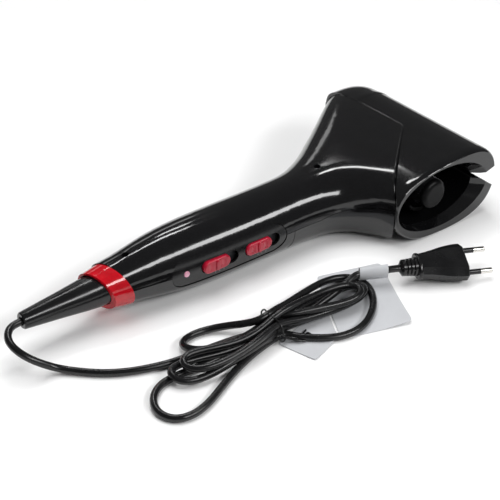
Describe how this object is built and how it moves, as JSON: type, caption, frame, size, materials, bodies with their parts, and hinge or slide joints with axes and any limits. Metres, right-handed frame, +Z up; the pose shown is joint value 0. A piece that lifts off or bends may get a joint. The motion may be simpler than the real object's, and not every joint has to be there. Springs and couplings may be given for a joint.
{
  "type": "automatic hair curler",
  "caption": "Clamp-type automatic hair curler with a wide curling head, side switch panel, swivel lead entry, tied mains lead and flat two-pin plug.",
  "frame": {"origin": "middle of the flat land under the handle, on the surface the curler lies on", "axes": "+X along the handle towards the head, +Z up, -Y towards the open end of the curling chamber"},
  "size_m": [0.3967, 0.2245, 0.0616],
  "materials": {
    "gloss_black": "piano black, polished",
    "satin_black": "satin",
    "gloss_red": "polished",
    "knob_red": "semi-gloss",
    "pink_lens": "translucent",
    "heatproof_black": "fine satin",
    "inner_plastic": "as moulded",
    "acetal": "as moulded",
    "board_green": "solder resist",
    "copper": "drawn",
    "steel": "zinc plated",
    "coated_aluminium": "ceramic coating",
    "aluminium": "extruded",
    "ceramic": "plain",
    "cord_rubber": "satin",
    "nickel": "nickel plated",
    "paper": "uncoated"
  },
  "bodies": {
    "housing": {"barrel_end_cap": "heatproof_black", "bulkhead": "heatproof_black", "buzzer": "inner_plastic", "chassis_plate": "inner_plastic", "choke_coil": "copper", "collar_ring": "gloss_red", "contact_brushes": "inner_plastic", "control_chip": "inner_plastic", "cord_hank": "cord_rubber", "cord_lead": "cord_rubber", "cord_tail": "cord_rubber", "drive_motor": "steel", "filter_capacitor": "inner_plastic", "gear_plate": "inner_plastic", "heat_spreaders": "aluminium", "heater_barrel": "coated_aluminium", "hinge_bracket": "steel", "hinge_pin": "steel", "idler_axle": "steel", "indicator_led": "pink_lens", "indicator_lens": "pink_lens", "inner_wires": "cord_rubber", "lever_spring": "steel", "main_board": "board_green", "microswitch": "inner_plastic", "motor_bracket": "steel", "paper_tag": "paper", "plug_body": "cord_rubber", "plug_pins": "nickel", "plug_sleeves": "cord_rubber", "plug_strain_relief": "cord_rubber", "ptc_heater": "ceramic", "rear_lower_shell": "gloss_black", "rotor_washer": "heatproof_black", "shell_screws": "steel", "switch_panel": "satin_black", "swivel_socket": "inner_plastic", "temperature_switch": "inner_plastic", "thermal_fuse": "steel", "timer_switch": "inner_plastic", "triac": "inner_plastic", "twist_tie": "cord_rubber", "upper_jaw_cover": "gloss_black", "upper_liner": "heatproof_black", "upper_shell": "gloss_black"},
    "lever": {"lever_shell": "gloss_black", "lower_jaw_cover": "gloss_black", "lower_liner": "heatproof_black", "lever_arm": "steel", "lever_screws": "steel"},
    "rotor": {"rotor_gear": "acetal", "winding_hook": "heatproof_black"},
    "idler": {"idler_gear": "acetal"},
    "motor_shaft": {"motor_pinion": "acetal"},
    "temperature_slider": {"temperature_knob": "knob_red"},
    "timer_slider": {"timer_knob": "knob_red"},
    "lead_swivel": {"cord_boot": "satin_black", "swivel_contact": "copper"},
    "switch_plunger": {"microswitch_plunger": "inner_plastic"}
  },
  "joints": [
    {"name": "lever_hinge", "type": "hinge", "parent": "housing", "child": "lever", "pos_m": [0.022, 0, 0.014], "axis": [0, 1, 0], "range_deg": [0, 12], "stiffness_Nm_per_rad": 0.6, "springref_deg": -20.05},
    {"name": "rotor_spin", "type": "hinge", "parent": "housing", "child": "rotor", "pos_m": [0.13, 0, 0.031], "axis": [0, 1, 0], "continuous": true},
    {"name": "idler_spin", "type": "hinge", "parent": "housing", "child": "idler", "pos_m": [0.15013, 0.023, 0.04407], "axis": [0, 1, 0], "continuous": true},
    {"name": "motor_spin", "type": "hinge", "parent": "housing", "child": "motor_shaft", "pos_m": [0.15614, 0.023, 0.03277], "axis": [0, 1, 0], "continuous": true},
    {"name": "temperature_slide", "type": "slide", "parent": "housing", "child": "temperature_slider", "axis": [1, 0, 0], "range_m": [0, 0.007]},
    {"name": "timer_slide", "type": "slide", "parent": "housing", "child": "timer_slider", "axis": [1, 0, 0], "range_m": [0, 0.007]},
    {"name": "lead_swivel_turn", "type": "hinge", "parent": "housing", "child": "lead_swivel", "pos_m": [-0.16, 0, 0.025], "axis": [1, 0, 0], "continuous": true},
    {"name": "switch_plunger_travel", "type": "slide", "parent": "housing", "child": "switch_plunger", "axis": [0, 0, -1], "range_m": [0, 0.00125]}
  ],
  "couplings": [
    {"joint": "idler_spin", "follows": "rotor_spin", "ratio": -2},
    {"joint": "motor_spin", "follows": "rotor_spin", "ratio": 3.3333},
    {"joint": "switch_plunger_travel", "follows": "lever_hinge", "m_per_rad": 0.00573}
  ]
}
